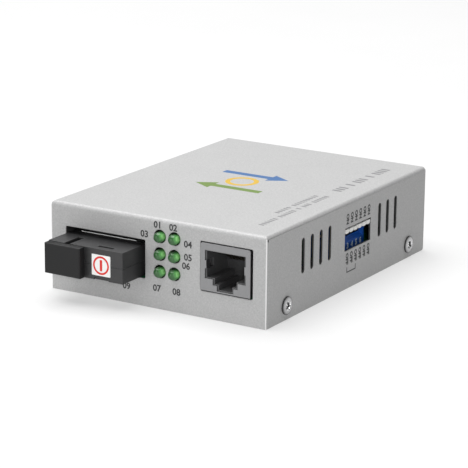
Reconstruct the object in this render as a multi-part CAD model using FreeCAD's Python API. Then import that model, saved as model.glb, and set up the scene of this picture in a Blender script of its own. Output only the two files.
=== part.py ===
"""Fibre media converter: folded sheet case, single-fibre port, shielded network jack, side switch block.

Millimetres. X runs along the front panel, Y from the front panel to the back, Z up.
The origin is the centre of the case's footprint, on the plane that it stands on.
"""
import FreeCAD, Part
import math
import os

V = FreeCAD.Vector
X_AXIS = V(1, 0, 0)
Y_AXIS = V(0, 1, 0)
Z_AXIS = V(0, 0, 1)

# ---- case ----------------------------------------------------------------------------------------
CASE_W = 71.0
CASE_D = 94.0
CASE_H = 26.0
SHEET = 0.8
BEND_OUT = 1.3
RELIEF = 0.6            # square notch at the top of the seam, where three folds meet
SEAM = 0.1              # side flap to the back of the front flap
FLAP_CORNER = 0.8
NEST = 0.15             # base inside the cover
FLANGE_H = 9.0
FLANGE_INSET = 6.0      # flange ends to the case's front and back
FRONT_LIP_H = 5.5
BACK_INSET = 0.4        # back panel behind the cover's rear edge

LEFT = -CASE_W / 2
RIGHT = CASE_W / 2
FRONT = -CASE_D / 2
REAR = CASE_D / 2
BEND_IN = BEND_OUT - SHEET
INNER = SHEET + NEST    # outer face of the base, in from the case's face
BACK_OUT = REAR - BACK_INSET
BACK_IN = BACK_OUT - SHEET

# ---- cover screws --------------------------------------------------------------------------------
SCREW_R = 1.5
SCREW_HOLE_R = 1.7
SCREW_HEAD_R = 2.6
SCREW_RIM_H = 0.4
SCREW_CROWN_H = 0.35
SCREW_LEN = 5.0
SCREW_Z = 4.15
SCREW_FRONT = 10.9      # from the front panel
SCREW_REAR = 10.4       # from the rear edge
THREAD_GAP = 0.03
COLLAR_R = 2.3
COLLAR_LEN = 1.2

# ---- vents and switch window in the side flaps ---------------------------------------------------
VENT_W = 1.85
VENT_LEN = 10.1
VENT_Z = 11.1
VENT_PITCH = 5.0
FRONT_VENTS = 4
FRONT_VENT_Y = 19.8
REAR_VENTS = 3
REAR_VENT_Y = 64.7
WINDOW_Y = 51.45        # centre, from the front panel
WINDOW_LEN = 15.6
WINDOW_LIFT = 3.3       # above the board
WINDOW_H = 6.75
WINDOW_CORNER = 0.3

# ---- main board ----------------------------------------------------------------------------------
BOARD_T = 1.6
STANDOFF_H = 5.7
STANDOFF_R = 2.6
STANDOFF_FOOT_R = 1.9
BOARD_SIDE = 3.2        # from the case's side faces
BOARD_FRONT = 2.0
BOARD_BACK = 2.4
BOARD_Z = SHEET + STANDOFF_H
BOARD_TOP = BOARD_Z + BOARD_T
PIN = 0.5
PIN_HOLE_R = 0.45
PIN_BELOW = 1.0
FIT = 0.05              # running and slip clearance
BOARD_SCREW_HEAD_R = 2.75
BOARD_SCREW_HEAD_H = 1.9
BOARD_SCREW_LEN = 5.5
BOARD_HOLE_R = 1.65

# ---- optical module ------------------------------------------------------------------------------
MODULE_LEFT = 5.25      # from the case's left face
MODULE_W = 25.0
MODULE_H = 9.0
MODULE_NOSE = 8.5       # in front of the panel
MODULE_BACK = 31.0      # behind the panel
MODULE_WALL = 1.0
MODULE_SPLIT = 4.35     # lower shell's height
MODULE_LIFT = 0.05
PORT_FROM_LEFT = 6.35
PORT_W = 9.06
PORT_H = 7.46
PORT_DEPTH = 13.5
BULKHEAD = 1.5
KEYWAY_W = 1.8
KEYWAY_LEN = 7.0
SNAP_W = 5.0
SNAP_LEN = 1.2
SNAP_X = 17.85          # from the module's left face
SNAP_Y = 1.9            # from the nose
PITCH = 2.54
MODULE_PIN_BACK = 4.0
STUD_R = 0.9
STUD_BACK = 25.4
STUD_BELOW = 0.6
FERRULE_BORE_R = 1.25
SLEEVE_R = 1.65
SLEEVE_LEN = 7.0
BARREL_R = 2.6
BARREL_LEN = 8.5
CAN_R = 2.3
CAN_LEN = 3.5
HOOK_T = 0.6
HOOK_H = 3.0
HOOK_LEN = 5.0
HOOK_SPAN = 5.6
CLIP_T = 0.3
CLIP_INSET_LEFT = 4.6
CLIP_INSET_RIGHT = 1.9
CLIP_FRONT = 2.6
CLIP_BACK = 24.0
CLIP_FLARE_OUT = 1.5
CLIP_FLARE_UP = 0.85
STRAP_FRONT = 10.0
STRAP_BACK = 16.0
PANEL_GAP_SIDE = 0.15   # panel cut-out beyond the module's left face
PANEL_GAP_RIGHT = 1.7
PANEL_GAP_TOP = 2.05
PANEL_GAP_BOTTOM = 0.1
CUTOUT_CORNER = 0.4

# ---- dust cap and sticker ------------------------------------------------------------------------
CAP_W = 12.1
CAP_H = 8.8
CAP_T = 2.2
CAP_GAP = 0.4
CAP_EDGE = 0.25
CAP_PLUG_CLEAR = 0.12
CAP_PLUG_LEN = 6.9
CAP_PLUG_WALL = 1.0
STICKER_W = 6.2
STICKER_H = 6.0
STICKER_T = 0.1
STICKER_FROM_LEFT = 14.75
STICKER_FROM_BASE = 1.35
NOTCH_W = 4.7
NOTCH_H = 0.75
NOTCH_DEEP = 0.5

# ---- network jack --------------------------------------------------------------------------------
JACK_FROM_RIGHT = 12.8
JACK_W = 15.86
JACK_H = 13.5
JACK_LEN = 16.4
JACK_PROUD = 0.35
JACK_GAP_LEFT = 0.25     # panel cut-out beyond the shield
JACK_GAP_RIGHT = 0.55
JACK_GAP_TOP = 0.2
JACK_GAP_BOTTOM = 0.35
JACK_EDGE = 0.6
SHIELD_T = 0.25
MOUTH_HALF = (6.48, 3.97, 2.62)     # half widths of the mouth and of its two latch steps
MOUTH_Z = (3.5, 1.85, 0.37)         # their floors, above the jack's base
MOUTH_TOP = 11.5
CAVITY_STEP = 0.5                   # plastic mouth inside the shield's
CAVITY_DEPTH = 11.0
SPRING_H = 2.3
SPRING_Z = 6.3
SPRING_IN = 0.45
SPRING_LEN = 3.2
CONTACTS = 8
CONTACT_PITCH = 1.02
CONTACT_W = 0.35
CONTACT_T = 0.3
CONTACT_SLOT = 0.1
JACK_LEG_W = 1.6
JACK_LEG_Y = 8.0

# ---- lamps ---------------------------------------------------------------------------------------
LED_COLS = 2
LED_ROWS = 3
LED_X = 36.85           # first column, from the case's left face
LED_COL_PITCH = 4.75
LED_LIFT = 12.85        # top row, above the board
LED_ROW_PITCH = 5.02
LED_HOLE_R = 1.9
LED_R = 1.5
LED_FLANGE_R = 1.9
LED_FLANGE_T = 1.0
LED_BARREL = 3.0
LED_PROUD = 2.0         # dome's tip in front of the panel
LED_DROP = 0.15
LEAD_GAP = 1.27
HOLDER_T = 4.5
HOLDER_EDGE = 2.6
HOLDER_SEAT = 0.6

# ---- switch block --------------------------------------------------------------------------------
DIP_WAYS = 6
DIP_LEN = 17.4
DIP_FACE = 2.65         # behind the case's right face
DIP_DEEP = 8.9
DIP_H = 10.3
DIP_STAND = 0.2
RIDGE_Z = 4.35          # above the block's base
CHANNEL_TOP = 9.55
CHANNEL_DEEP = 1.3
CHANNEL_CHEEK = 1.1
LEVER_W = 2.1
LEVER_PAD_H = 1.25
LEVER_PAD_LEN = 2.3
LEVER_TIP = 0.1         # behind the case's right face
LEVER_PAD_Z = 8.35      # underside of the pad, above the board
LEVER_ROUND = 0.55
LEVER_PIVOT = 5.1       # behind the block's face
LEVER_PIVOT_Z = 6.95    # above the board
LEVER_HUB_R = 1.1
LEVER_ARM_W = 1.7
LEVER_ARM_T = 1.0
LEVER_SLOT_W = 2.3
AXLE_R = 0.4
DIP_ROW_FRONT = 2.4
DIP_ROW_GAP = 5.08

# ---- power inlet ---------------------------------------------------------------------------------
POWER_FROM_RIGHT = 17.0
POWER_W = 9.0
POWER_H = 11.0
POWER_LEN = 14.0
POWER_AXIS_Z = 6.5
POWER_BORE_R = 3.2
POWER_BORE_DEEP = 9.5
POWER_COLLAR_R = 3.9
POWER_COLLAR_LEN = 0.9
POWER_HOLE_R = 4.1
POWER_PIN_R = 1.0
POWER_PIN_SHORT = 0.8
POWER_PIN_TIP = 0.5
POWER_PIN_SHOULDER_R = 1.4
POWER_WALL_GAP = 0.2

# ---- parts on the board --------------------------------------------------------------------------
CHIP_SIDE = 14.0
CHIP_T = 1.4
CHIP_STAND = 0.1
CHIP_LEADS = 16         # on each side
LEAD_W = 0.3
LEAD_T = 0.15
LEAD_OUT = 1.0
CHIP_PITCH = 0.8
MEMORY_W = 3.9
MEMORY_LEN = 4.9
MEMORY_T = 1.5
COIL_W = 12.8
COIL_LEN = 6.6
COIL_H = 5.6
COIL_LEADS = 8
COIL_PITCH = 1.27
CRYSTAL_LEN = 11.2
CRYSTAL_W = 4.6
CRYSTAL_H = 3.4
CAN_CAP_R = 3.15
CAN_CAP_H = 7.0
CAN_BASE_T = 0.8
INDUCTOR_SIDE = 11.5
INDUCTOR_H = 6.5
INDUCTOR_R = 4.9
REGULATOR_W = 6.5
REGULATOR_LEN = 6.1
REGULATOR_T = 2.3
REGULATOR_TAB = 0.5
CHIP_PART_LEN = 2.0
CHIP_PART_W = 1.25
CHIP_PART_T = 0.55


# ---- helpers -------------------------------------------------------------------------------------
def box(x0, x1, y0, y1, z0, z1):
    return Part.makeBox(x1 - x0, y1 - y0, z1 - z0, V(x0, y0, z0))


def rod(radius, length, start, axis):
    return Part.makeCylinder(radius, length, V(*start), axis)


def join(shapes):
    shapes = list(shapes)
    return shapes[0].multiFuse(shapes[1:]).removeSplitter()


def carve(shape, tools):
    return shape.cut(Part.makeCompound(list(tools)))


def edges_along(shape, axis, keep=lambda point: True):
    """Straight edges that run along an axis and whose middle passes the keep test."""
    found = []
    for edge in shape.Edges:
        ends = [v.Point for v in edge.Vertexes]
        if len(ends) == 2 and abs(abs((ends[1] - ends[0]).normalize().dot(axis)) - 1) < 1e-6:
            if keep((ends[0] + ends[1]) * 0.5):
                found.append(edge)
    return found


def rounded(shape, radius, axis, keep=lambda point: True):
    return shape.makeFillet(radius, edges_along(shape, axis, keep))


def plate_with_corners(x0, x1, y0, y1, z0, z1, radius, axis):
    return rounded(box(x0, x1, y0, y1, z0, z1), radius, axis)


def profile(points, axis, start, length):
    """Polygon of (u, v) pairs, in XY, XZ or YZ by the axis that it is extruded along."""
    place = {
        "x": lambda u, v: V(start, u, v),
        "y": lambda u, v: V(u, start, v),
        "z": lambda u, v: V(u, v, start),
    }[axis]
    way = {"x": X_AXIS, "y": Y_AXIS, "z": Z_AXIS}[axis]
    corners = [place(u, v) for u, v in points]
    wire = Part.makePolygon(corners + corners[:1])
    return Part.Face(wire).extrude(way * length)


def strip(points, thickness, start, width):
    """Flat metal strip bent along (y, z) points, with rounded bends, extruded along X."""
    wire = Part.makePolygon([V(start, y, z) for y, z in points])
    outline = wire.makeOffset2D(thickness / 2, 0, True, False, False)
    return outline.extrude(X_AXIS * width)


def pin_hole(x, y):
    return rod(PIN_HOLE_R, BOARD_T + 2, (x, y, BOARD_Z - 1), Z_AXIS)


def pin_down(x, y, top):
    return box(x - PIN / 2, x + PIN / 2, y - PIN / 2, y + PIN / 2, BOARD_Z - PIN_BELOW, top)


def save(name, *shapes):
    solids = [solid for shape in shapes for solid in shape.Solids]
    for solid in solids:
        if not solid.isValid() or solid.Volume <= 0:
            print("check", name, "valid", solid.isValid(), "volume", round(solid.Volume, 3))
    whole = solids[0] if len(solids) == 1 else Part.makeCompound(solids)
    whole.exportStep(os.path.join("parts", name + ".step"))


# ---- places that several pieces share ------------------------------------------------------------
MODULE_X0 = LEFT + MODULE_LEFT
MODULE_X1 = MODULE_X0 + MODULE_W
MODULE_Y0 = FRONT - MODULE_NOSE
MODULE_Y1 = FRONT + MODULE_BACK
MODULE_Z0 = BOARD_TOP + MODULE_LIFT
MODULE_Z1 = MODULE_Z0 + MODULE_H
SPLIT_Z = MODULE_Z0 + MODULE_SPLIT
PORT_X = MODULE_X0 + PORT_FROM_LEFT
PORT_Z = (MODULE_Z0 + MODULE_Z1) / 2
PORT_END = MODULE_Y0 + PORT_DEPTH
MODULE_PIN_Y = MODULE_Y1 - MODULE_PIN_BACK
MODULE_MID = (MODULE_X0 + MODULE_X1) / 2
MODULE_PINS = int((MODULE_W - 2 * MODULE_WALL) / PITCH)
STUD_SPAN = (MODULE_PINS - 1) * PITCH
STUD_Y = MODULE_PIN_Y - STUD_BACK + MODULE_NOSE

JACK_X = RIGHT - JACK_FROM_RIGHT
JACK_Y0 = FRONT - JACK_PROUD
JACK_Y1 = JACK_Y0 + JACK_LEN
JACK_Z0 = BOARD_TOP
JACK_Z1 = JACK_Z0 + JACK_H
CONTACT_Y = JACK_Y0 + CAVITY_DEPTH + 2.2

LED_Z = BOARD_TOP + LED_LIFT
LED_TIP = FRONT - LED_PROUD
LED_BACK = LED_TIP + LED_R + LED_BARREL + LED_FLANGE_T
HOLDER_Y0 = LED_BACK - HOLDER_SEAT

WINDOW_Z = BOARD_TOP + WINDOW_LIFT
DIP_X1 = RIGHT - DIP_FACE
DIP_X0 = DIP_X1 - DIP_DEEP
DIP_Y = FRONT + WINDOW_Y
DIP_Z0 = BOARD_TOP + DIP_STAND
PIVOT_X = DIP_X1 - LEVER_PIVOT
PIVOT_Z = BOARD_TOP + LEVER_PIVOT_Z
DIP_ROWS_X = (DIP_X1 - DIP_ROW_FRONT - DIP_ROW_GAP, DIP_X1 - DIP_ROW_FRONT)

POWER_X = RIGHT - POWER_FROM_RIGHT
POWER_Y1 = BACK_IN - POWER_WALL_GAP
POWER_Y0 = POWER_Y1 - POWER_LEN
POWER_Z = BOARD_TOP + POWER_AXIS_Z

SCREW_YS = (FRONT + SCREW_FRONT, REAR - SCREW_REAR)
STANDOFFS = (
    (LEFT + 8.5, FRONT + 37.0),
    (LEFT + 8.5, REAR - 10.0),
    (RIGHT - 8.0, FRONT + 29.0),
    (RIGHT - 8.0, REAR - 10.0),
)


def lamp_places():
    """(x, z) of every lamp, row by row from the top."""
    for row in range(LED_ROWS):
        for column in range(LED_COLS):
            yield LEFT + LED_X + column * LED_COL_PITCH, LED_Z - row * LED_ROW_PITCH


def way_places():
    """Y of every switch lever, front to back."""
    for way in range(DIP_WAYS):
        yield DIP_Y + (way - (DIP_WAYS - 1) / 2) * PITCH


def contact_places():
    for contact in range(CONTACTS):
        yield JACK_X + (contact - (CONTACTS - 1) / 2) * CONTACT_PITCH


def module_pin_places():
    for pin in range(MODULE_PINS):
        yield MODULE_MID + (pin - (MODULE_PINS - 1) / 2) * PITCH


# ---- case cover ----------------------------------------------------------------------------------
def folded_block(x0, x1, y0, y1, z0, z1, radius):
    """Block with its front and side upper edges rounded, mitred where they meet."""
    block = box(x0, x1, y0, y1, z0, z1)
    upper = lambda point: point.z > z1 - 0.01
    upper_front = lambda point: upper(point) and point.y < y0 + 0.01
    sides = rounded(block, radius, Y_AXIS, upper)
    return sides.common(rounded(block, radius, X_AXIS, upper_front))


def folded_sheet():
    """Top with a front flap and two side flaps, bent from one sheet."""
    outer = folded_block(LEFT, RIGHT, FRONT, REAR, 0, CASE_H, BEND_OUT)
    hollow = folded_block(LEFT + SHEET, RIGHT - SHEET, FRONT + SHEET, REAR + 1, -1, CASE_H - SHEET, BEND_IN)
    seam = FRONT + SHEET
    bend = CASE_H - BEND_OUT
    tools = [hollow]
    for x0, x1 in ((LEFT - 1, LEFT + SHEET), (RIGHT - SHEET, RIGHT + 1)):
        tools.append(box(x0, x1, seam, seam + SEAM, -1, bend))
        tools.append(box(x0, x1, seam - RELIEF / 2, seam + RELIEF / 2, bend - RELIEF / 2, bend + RELIEF / 2))
    sheet = carve(outer, tools)
    low_rear = lambda point: point.y > REAR - 0.1 and point.z < 0.1
    low_front = lambda point: point.y < seam and point.z < 0.1 and abs(point.x) > RIGHT - 0.1
    sheet = rounded(sheet, FLAP_CORNER, X_AXIS, low_rear)
    return rounded(sheet, FLAP_CORNER / 2, Y_AXIS, low_front)


def vent_slots():
    """Round-ended slots through both side flaps."""
    starts = [(FRONT_VENT_Y, FRONT_VENTS), (REAR_VENT_Y, REAR_VENTS)]
    for first, count in starts:
        for number in range(count):
            y = FRONT + first + number * VENT_PITCH
            slot = box(
                LEFT - 1, RIGHT + 1, y - VENT_W / 2, y + VENT_W / 2, VENT_Z, VENT_Z + VENT_LEN
            )
            yield rounded(slot, VENT_W / 2 - 0.001, X_AXIS)


def module_cutout():
    return plate_with_corners(
        MODULE_X0 - PANEL_GAP_SIDE, MODULE_X1 + PANEL_GAP_RIGHT, FRONT - 1, FRONT + SHEET + 1,
        MODULE_Z0 - PANEL_GAP_BOTTOM, MODULE_Z1 + PANEL_GAP_TOP, CUTOUT_CORNER, Y_AXIS,
    )


def jack_cutout():
    return plate_with_corners(
        JACK_X - JACK_W / 2 - JACK_GAP_LEFT, JACK_X + JACK_W / 2 + JACK_GAP_RIGHT, FRONT - 1,
        FRONT + SHEET + 1, JACK_Z0 - JACK_GAP_BOTTOM, JACK_Z1 + JACK_GAP_TOP, CUTOUT_CORNER, Y_AXIS,
    )


def switch_window():
    y0 = DIP_Y - WINDOW_LEN / 2
    return plate_with_corners(
        RIGHT - SHEET - 1, RIGHT + 1, y0, y0 + WINDOW_LEN, WINDOW_Z, WINDOW_Z + WINDOW_H,
        WINDOW_CORNER, X_AXIS,
    )


def cover_screw_holes():
    for y in SCREW_YS:
        yield rod(SCREW_HOLE_R, CASE_W + 2, (LEFT - 1, y, SCREW_Z), X_AXIS)


def case_cover():
    tools = [module_cutout(), jack_cutout(), switch_window()]
    tools += [rod(LED_HOLE_R, SHEET + 2, (x, FRONT - 1, z), Y_AXIS) for x, z in lamp_places()]
    tools += list(vent_slots()) + list(cover_screw_holes())
    return carve(folded_sheet(), tools)


# ---- case base -----------------------------------------------------------------------------------
def side_flange(side):
    """Upturned flange along one side, bent up from the floor."""
    wide = BEND_OUT + 1.0
    edge = side * (CASE_W / 2 - INNER)
    x0, x1 = sorted((edge, edge - side * wide))
    y0, y1 = FRONT + FLANGE_INSET, REAR - FLANGE_INSET
    corner = lambda point: point.z < BEND_OUT and abs(point.x) > abs(edge) - BEND_OUT
    outer = rounded(box(x0, x1, y0, y1, 0, FLANGE_H), BEND_OUT, Y_AXIS, corner)
    inner_edge = edge - side * SHEET
    h0, h1 = sorted((inner_edge, edge - side * (wide + 1)))
    hollow = rounded(box(h0, h1, y0 - 1, y1 + 1, SHEET, FLANGE_H + 1), BEND_IN, Y_AXIS, corner)
    return outer.cut(hollow)


def upright(x0, x1, face, inward, height):
    """Plate bent up from the floor along X; face is its outer Y, inward is +1 or -1."""
    wide = BEND_OUT + 1.0
    y0, y1 = sorted((face, face + inward * wide))
    corner = lambda point: point.z < BEND_OUT and abs(point.y - face) < BEND_OUT
    outer = rounded(box(x0, x1, y0, y1, 0, height), BEND_OUT, X_AXIS, corner)
    h0, h1 = sorted((face + inward * SHEET, face + inward * (wide + 1)))
    return outer.cut(rounded(box(x0 - 1, x1 + 1, h0, h1, SHEET, height + 1), BEND_IN, X_AXIS, corner))


def case_base():
    x0, x1 = LEFT + INNER, RIGHT - INNER
    fold = BEND_OUT + 0.5
    y0, y1 = FRONT + INNER, BACK_OUT
    floor = box(x0 + fold, x1 - fold, y0 + fold, y1 - fold, 0, SHEET)
    ear = FLANGE_INSET - SHEET
    ears = [
        box(x0, x0 + ear, y0, FRONT + FLANGE_INSET, 0, SHEET),
        box(x1 - ear, x1, y0, FRONT + FLANGE_INSET, 0, SHEET),
        box(x0 + ear, x1 - ear, y0 + fold, FRONT + FLANGE_INSET, 0, SHEET),
        box(x0, x1, REAR - FLANGE_INSET, y1 - fold, 0, SHEET),
    ]
    lip = upright(x0 + FLANGE_INSET, x1 - FLANGE_INSET, y0, 1, FRONT_LIP_H)
    back = upright(x0, x1, y1, -1, CASE_H - SHEET - NEST)
    flanges = [side_flange(-1), side_flange(1)]
    collars = [
        rod(COLLAR_R, COLLAR_LEN + 0.1, (x - 0.1, y, SCREW_Z), X_AXIS)
        for y in SCREW_YS
        for x in (x0 + SHEET, x1 - SHEET - COLLAR_LEN + 0.1)
    ]
    tray = join([floor, lip, back] + ears + flanges + collars)
    tools = [
        rod(SCREW_R + THREAD_GAP, CASE_W + 2, (LEFT - 1, y, SCREW_Z), X_AXIS) for y in SCREW_YS
    ]
    tools += [rod(STANDOFF_FOOT_R, SHEET + 2, (x, y, -1), Z_AXIS) for x, y in STANDOFFS]
    tools.append(rod(POWER_HOLE_R, 4, (POWER_X, BACK_IN - 2, POWER_Z), Y_AXIS))
    return carve(tray, tools)


# ---- fasteners -----------------------------------------------------------------------------------
def cross_recess(half, width, depth):
    """Four-winged driver recess that tapers downward from z = 0."""
    wings = []
    for turn in (0, 90):
        blade = profile(
            [(-half, 0.2), (half, 0.2), (half, 0), (half * 0.35, -depth), (-half * 0.35, -depth), (-half, 0)],
            "y", -width / 2, width,
        )
        blade.rotate(V(0, 0, 0), Z_AXIS, turn)
        wings.append(blade)
    return join(wings)


def low_head_screw():
    """Low domed head on z = 0 with its shank down -Z."""
    top = SCREW_RIM_H + SCREW_CROWN_H
    rim = rod(SCREW_HEAD_R, SCREW_RIM_H, (0, 0, 0), Z_AXIS)
    dome_r = (SCREW_HEAD_R ** 2 + SCREW_CROWN_H ** 2) / (2 * SCREW_CROWN_H)
    ball = Part.makeSphere(dome_r, V(0, 0, top - dome_r))
    crown = ball.common(rod(SCREW_HEAD_R, SCREW_CROWN_H, (0, 0, SCREW_RIM_H), Z_AXIS))
    shank = rod(SCREW_R, SCREW_LEN, (0, 0, -SCREW_LEN), Z_AXIS)
    recess = cross_recess(1.35, 0.55, 1.1)
    recess.rotate(V(0, 0, 0), Z_AXIS, 28)
    recess.translate(V(0, 0, top))
    return join([rim, crown, shank]).cut(recess)


def cover_screws():
    screws = []
    for side in (-1, 1):
        for y in SCREW_YS:
            screw = low_head_screw()
            screw.rotate(V(0, 0, 0), Y_AXIS, 90 * side)
            screw.translate(V(side * CASE_W / 2, y, SCREW_Z))
            screws.append(screw)
    return screws


def standoff(x, y):
    body = rod(STANDOFF_R, STANDOFF_H, (x, y, SHEET), Z_AXIS)
    foot = rod(STANDOFF_FOOT_R - THREAD_GAP, SHEET, (x, y, 0), Z_AXIS)
    hole = rod(SCREW_R + THREAD_GAP, STANDOFF_H + 1, (x, y, SHEET), Z_AXIS)
    return join([body, foot]).cut(hole)


def board_screw(x, y):
    head = rod(BOARD_SCREW_HEAD_R, BOARD_SCREW_HEAD_H, (x, y, BOARD_TOP), Z_AXIS)
    rim = [edge for edge in head.Edges if edge.BoundBox.ZMin > BOARD_TOP + 0.1 and edge.Closed]
    head = head.makeFillet(0.8, rim)
    shank = rod(SCREW_R, BOARD_SCREW_LEN, (x, y, BOARD_TOP - BOARD_SCREW_LEN), Z_AXIS)
    recess = cross_recess(1.5, 0.6, 1.2)
    recess.translate(V(x, y, BOARD_TOP + BOARD_SCREW_HEAD_H))
    return join([head, shank]).cut(recess)


# ---- main board ----------------------------------------------------------------------------------
def circuit_board():
    board = plate_with_corners(
        LEFT + BOARD_SIDE, RIGHT - BOARD_SIDE, FRONT + BOARD_FRONT, REAR - BOARD_BACK, BOARD_Z, BOARD_TOP,
        1.0, Z_AXIS,
    )
    holes = [rod(BOARD_HOLE_R, BOARD_T + 2, (x, y, BOARD_Z - 1), Z_AXIS) for x, y in STANDOFFS]
    holes += [pin_hole(x, MODULE_PIN_Y) for x in module_pin_places()]
    holes += [
        rod(STUD_R + FIT, BOARD_T + 2, (MODULE_MID + side * STUD_SPAN / 2, STUD_Y, BOARD_Z - 1), Z_AXIS)
        for side in (-1, 1)
    ]
    holes += [pin_hole(x, CONTACT_Y) for x in contact_places()]
    holes += [pin_hole(x, y) for x in DIP_ROWS_X for y in way_places()]
    holes += [pin_hole(x, y) for x, y in lead_places()]
    holes += [
        box(x - 0.4, x + 0.4, y - 0.4, y + 0.4, BOARD_Z - 1, BOARD_TOP + 1) for x, y in terminal_places()
    ]
    leg = JACK_LEG_W / 2 + 0.2
    for side in (-1, 1):
        x = JACK_X + side * (JACK_W - SHIELD_T) / 2
        y = JACK_Y0 + JACK_LEG_Y
        holes.append(box(x - 0.3, x + 0.3, y - leg, y + leg, BOARD_Z - 1, BOARD_TOP + 1))
    return carve(board, holes)


# ---- optical module ------------------------------------------------------------------------------
def module_shell(z0, z1):
    """Half of the module's body between two heights, hollow, with the port's cavity."""
    block = box(MODULE_X0, MODULE_X1, MODULE_Y0, MODULE_Y1, z0, z1)
    wall = MODULE_WALL
    port = box(
        PORT_X - PORT_W / 2, PORT_X + PORT_W / 2, MODULE_Y0 - 1, PORT_END,
        PORT_Z - PORT_H / 2, PORT_Z + PORT_H / 2,
    )
    bay_z0, bay_z1 = MODULE_Z0 + wall, MODULE_Z1 - wall
    rear_bay = box(
        MODULE_X0 + wall, MODULE_X1 - wall, PORT_END + BULKHEAD, MODULE_Y1 - wall, bay_z0, bay_z1
    )
    side_bay = box(
        PORT_X + PORT_W / 2 + wall, MODULE_X1 - wall, MODULE_Y0 + wall, PORT_END + BULKHEAD + 1,
        bay_z0, bay_z1,
    )
    barrel_hole = rod(BARREL_R + FIT, BULKHEAD + 2, (PORT_X, PORT_END - 1, PORT_Z), Y_AXIS)
    return carve(block, [port, rear_bay, side_bay, barrel_hole])


def transceiver_upper_shell():
    shell = module_shell(SPLIT_Z, MODULE_Z1)
    keyway = box(
        PORT_X - KEYWAY_W / 2, PORT_X + KEYWAY_W / 2, MODULE_Y0 - 1, MODULE_Y0 + KEYWAY_LEN,
        PORT_Z, MODULE_Z1 + 1,
    )
    snap_x = MODULE_X0 + SNAP_X
    snap = box(
        snap_x - SNAP_W / 2, snap_x + SNAP_W / 2, MODULE_Y0 + SNAP_Y, MODULE_Y0 + SNAP_Y + SNAP_LEN,
        SPLIT_Z, MODULE_Z1 + 1,
    )
    return carve(shell, [keyway, snap])


def transceiver_lower_shell():
    shell = module_shell(MODULE_Z0, SPLIT_Z)
    snap_x = MODULE_X0 + STICKER_FROM_LEFT + STICKER_W / 2
    notch = box(
        snap_x - NOTCH_W / 2, snap_x + NOTCH_W / 2, MODULE_Y0 - 1, MODULE_Y0 + NOTCH_DEEP,
        MODULE_Z0 - 1, MODULE_Z0 + NOTCH_H,
    )
    half_row = (MODULE_PINS - 1) / 2 * PITCH + 0.6
    pin_slot = box(
        MODULE_MID - half_row, MODULE_MID + half_row, MODULE_PIN_Y - 0.6, MODULE_PIN_Y + 0.6,
        MODULE_Z0 - 1, MODULE_Z0 + MODULE_WALL + 1,
    )
    stud_len = STUD_BELOW + BOARD_T + MODULE_LIFT
    studs = [
        rod(STUD_R, stud_len, (MODULE_MID + side * STUD_SPAN / 2, STUD_Y, BOARD_Z - STUD_BELOW), Z_AXIS)
        for side in (-1, 1)
    ]
    ledges = [
        box(x, x + 1.2, MODULE_PIN_Y - 7, MODULE_Y1 - MODULE_WALL, MODULE_Z0 + MODULE_WALL - 0.1,
            MODULE_Z0 + MODULE_WALL + 0.5)
        for x in (MODULE_X0 + MODULE_WALL - 0.1, MODULE_X1 - MODULE_WALL - 1.1)
    ]
    return join([carve(shell, [notch, pin_slot])] + studs + ledges)


def transceiver_board():
    z0 = MODULE_Z0 + MODULE_WALL + 0.5
    board = box(
        MODULE_X0 + MODULE_WALL + FIT, MODULE_X1 - MODULE_WALL - FIT, MODULE_PIN_Y - 7,
        MODULE_Y1 - MODULE_WALL - FIT, z0, z0 + 0.8,
    )
    holes = [
        box(x - 0.35, x + 0.35, MODULE_PIN_Y - 0.35, MODULE_PIN_Y + 0.35, z0 - 1, z0 + 2)
        for x in module_pin_places()
    ]
    return carve(board, holes)


def transceiver_pins():
    top = MODULE_Z0 + MODULE_WALL + 0.5 + 1.2
    return [pin_down(x, MODULE_PIN_Y, top) for x in module_pin_places()]


def port_insert():
    """Bulkhead plate with two hooked arms that grip a plug."""
    back = PORT_END
    plate = box(
        PORT_X - PORT_W / 2 + FIT, PORT_X + PORT_W / 2 - FIT, back - 1.2, back,
        PORT_Z - PORT_H / 2 + FIT, PORT_Z + PORT_H / 2 - FIT,
    )
    arms = []
    for side in (-1, 1):
        x_in = PORT_X + side * HOOK_SPAN / 2
        x_out = x_in + side * HOOK_T
        reach = back - 1.2 - HOOK_LEN
        x0, x1 = sorted((x_in, x_out))
        arms.append(box(x0, x1, reach, back - 1, PORT_Z - HOOK_H / 2, PORT_Z + HOOK_H / 2))
        barb = profile(
            [(x_out, reach), (x_in, reach), (x_in - side * 0.5, reach + 0.5), (x_in, reach + 1.3),
             (x_out, reach + 1.3)],
            "z", PORT_Z - HOOK_H / 2, HOOK_H,
        )
        arms.append(barb)
    hole = rod(SLEEVE_R + FIT, 4, (PORT_X, back - 3, PORT_Z), Y_AXIS)
    return join([plate] + arms).cut(hole)


def ferrule_sleeve():
    y1 = PORT_END + BULKHEAD
    tube = rod(SLEEVE_R, SLEEVE_LEN, (PORT_X, y1 - SLEEVE_LEN, PORT_Z), Y_AXIS)
    return tube.cut(rod(FERRULE_BORE_R, SLEEVE_LEN + 2, (PORT_X, y1 - SLEEVE_LEN - 1, PORT_Z), Y_AXIS))


def optical_barrel():
    """Metal holder around the sleeve's end, with the laser can behind it."""
    y0 = PORT_END + FIT
    holder = rod(BARREL_R, BARREL_LEN, (PORT_X, y0, PORT_Z), Y_AXIS)
    seat = rod(SLEEVE_R + FIT, BULKHEAD, (PORT_X, y0 - 0.01, PORT_Z), Y_AXIS)
    can = rod(CAN_R, CAN_LEN, (PORT_X, y0 + BARREL_LEN, PORT_Z), Y_AXIS)
    flange = rod(CAN_R + 0.4, 0.6, (PORT_X, y0 + BARREL_LEN + CAN_LEN, PORT_Z), Y_AXIS)
    return join([holder, can, flange]).cut(seat)


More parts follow.
